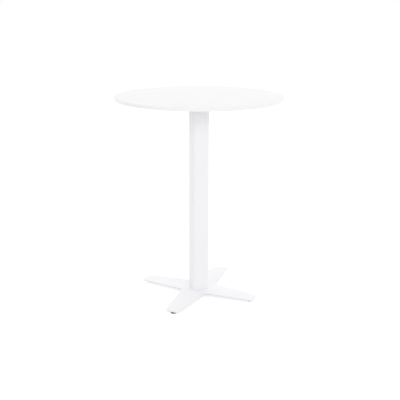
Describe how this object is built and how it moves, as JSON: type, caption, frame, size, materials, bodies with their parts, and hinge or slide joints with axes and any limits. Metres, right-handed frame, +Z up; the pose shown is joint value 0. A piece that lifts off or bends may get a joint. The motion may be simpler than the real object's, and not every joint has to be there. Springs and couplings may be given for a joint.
{
  "type": "round pedestal table",
  "caption": "Round pedestal dining table: thin white top on a square column with round corners and a low star base with tapered arms and screw-in levelling feet.",
  "frame": {"origin": "on the floor under the column's axis, at the middle of the footprint", "axes": "+Z up along the column; the base's arms run along +X (right), +Y (back), -X (left) and -Y (front)"},
  "size_m": [0.6, 0.6, 0.75],
  "materials": {
    "white_facing": "satin",
    "white_edge": "satin",
    "white_coat": "satin",
    "zinc_steel": "satin",
    "black_plastic": "matte"
  },
  "bodies": {
    "table": {"top_board": "white_facing", "top_edge_band": "white_edge", "top_spider": "white_coat", "spider_screw_1": "zinc_steel", "spider_screw_2": "zinc_steel", "spider_screw_3": "zinc_steel", "spider_screw_4": "zinc_steel", "spider_screw_5": "zinc_steel", "spider_screw_6": "zinc_steel", "spider_screw_7": "zinc_steel", "spider_screw_8": "zinc_steel", "column": "white_coat", "tie_rod": "zinc_steel", "tie_rod_top_nut": "zinc_steel", "tie_rod_top_washer": "zinc_steel", "tie_rod_bottom_nut": "zinc_steel", "tie_rod_spring_washer": "zinc_steel", "tie_rod_bottom_washer": "zinc_steel", "star_base": "white_coat"},
    "foot_right": {"foot_pad_right": "black_plastic"},
    "spindle_right": {"foot_spindle_right": "zinc_steel"},
    "foot_back": {"foot_pad_back": "black_plastic"},
    "spindle_back": {"foot_spindle_back": "zinc_steel"},
    "foot_left": {"foot_pad_left": "black_plastic"},
    "spindle_left": {"foot_spindle_left": "zinc_steel"},
    "foot_front": {"foot_pad_front": "black_plastic"},
    "spindle_front": {"foot_spindle_front": "zinc_steel"}
  },
  "joints": [
    {"name": "foot_right_lift", "type": "slide", "parent": "table", "child": "foot_right", "axis": [0, 0, -1], "range_m": [0, 0.0024]},
    {"name": "foot_right_turn", "type": "hinge", "parent": "foot_right", "child": "spindle_right", "pos_m": [0.211, 0, 0], "axis": [0, 0, -1], "range_deg": [0, 864]},
    {"name": "foot_back_lift", "type": "slide", "parent": "table", "child": "foot_back", "axis": [0, 0, -1], "range_m": [0, 0.0024]},
    {"name": "foot_back_turn", "type": "hinge", "parent": "foot_back", "child": "spindle_back", "pos_m": [0, 0.211, 0], "axis": [0, 0, -1], "range_deg": [0, 864]},
    {"name": "foot_left_lift", "type": "slide", "parent": "table", "child": "foot_left", "axis": [0, 0, -1], "range_m": [0, 0.0024]},
    {"name": "foot_left_turn", "type": "hinge", "parent": "foot_left", "child": "spindle_left", "pos_m": [-0.211, 0, 0], "axis": [0, 0, -1], "range_deg": [0, 864]},
    {"name": "foot_front_lift", "type": "slide", "parent": "table", "child": "foot_front", "axis": [0, 0, -1], "range_m": [0, 0.0024]},
    {"name": "foot_front_turn", "type": "hinge", "parent": "foot_front", "child": "spindle_front", "pos_m": [0, -0.211, 0], "axis": [0, 0, -1], "range_deg": [0, 864]}
  ],
  "couplings": [
    {"joint": "foot_right_turn", "follows": "foot_right_lift", "rad_per_m": 6283.2},
    {"joint": "foot_back_turn", "follows": "foot_back_lift", "rad_per_m": 6283.2},
    {"joint": "foot_left_turn", "follows": "foot_left_lift", "rad_per_m": 6283.2},
    {"joint": "foot_front_turn", "follows": "foot_front_lift", "rad_per_m": 6283.2}
  ]
}
